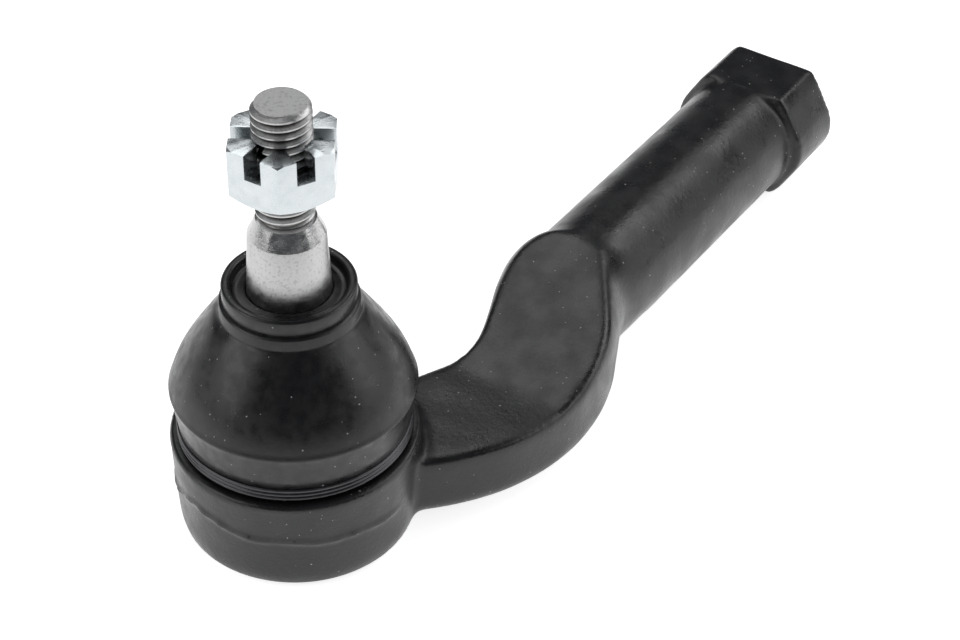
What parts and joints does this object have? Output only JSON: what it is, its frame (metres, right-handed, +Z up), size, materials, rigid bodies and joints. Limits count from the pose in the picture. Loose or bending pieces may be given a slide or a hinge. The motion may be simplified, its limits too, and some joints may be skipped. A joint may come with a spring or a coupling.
{
  "type": "tie rod end",
  "caption": "Outer tie rod end: a ball stud with a castle nut and dust boot in a forged socket with a cranked arm and an internally threaded shank.",
  "frame": {"origin": "centre of the ball", "axes": "+Z up the stud at rest, +X along the shank away from the socket"},
  "size_m": [0.168, 0.0572, 0.0872],
  "materials": {
    "forging": "black semi-gloss paint over a forged skin",
    "stud_steel": "turned and polished steel",
    "zinc": "bright zinc plate",
    "boot_rubber": "satin black rubber",
    "seat_plastic": "natural acetal",
    "spring_steel": "hardened spring steel",
    "ring_wire": "black phosphated wire"
  },
  "bodies": {
    "housing_body": {"housing": "forging", "upper_ball_seat": "seat_plastic", "lower_ball_seat": "seat_plastic", "preload_spring": "spring_steel", "end_cap": "forging", "boot_base_ring": "ring_wire"},
    "boot_body": {"dust_boot": "boot_rubber"},
    "neck_body": {"boot_neck_ring": "spring_steel"},
    "stud_body": {"ball_stud": "stud_steel"},
    "nut_body": {"castle_nut": "zinc"}
  },
  "joints": [
    {"name": "swing_direction", "type": "hinge", "parent": "housing_body", "child": "boot_body", "pos_m": [0, 0, 0], "axis": [0, 0, 1], "continuous": true},
    {"name": "stud_tilt", "type": "hinge", "parent": "boot_body", "child": "neck_body", "pos_m": [0, 0, 0], "axis": [0, 1, 0], "range_deg": [-25, 25], "deforming": ["dust_boot"]},
    {"name": "stud_spin", "type": "hinge", "parent": "neck_body", "child": "stud_body", "pos_m": [0, 0, 0], "axis": [0, 0, 1], "continuous": true},
    {"name": "nut_travel", "type": "slide", "parent": "stud_body", "child": "nut_body", "axis": [0, 0, 1], "range_m": [-0.0045, 0.0163]}
  ]
}
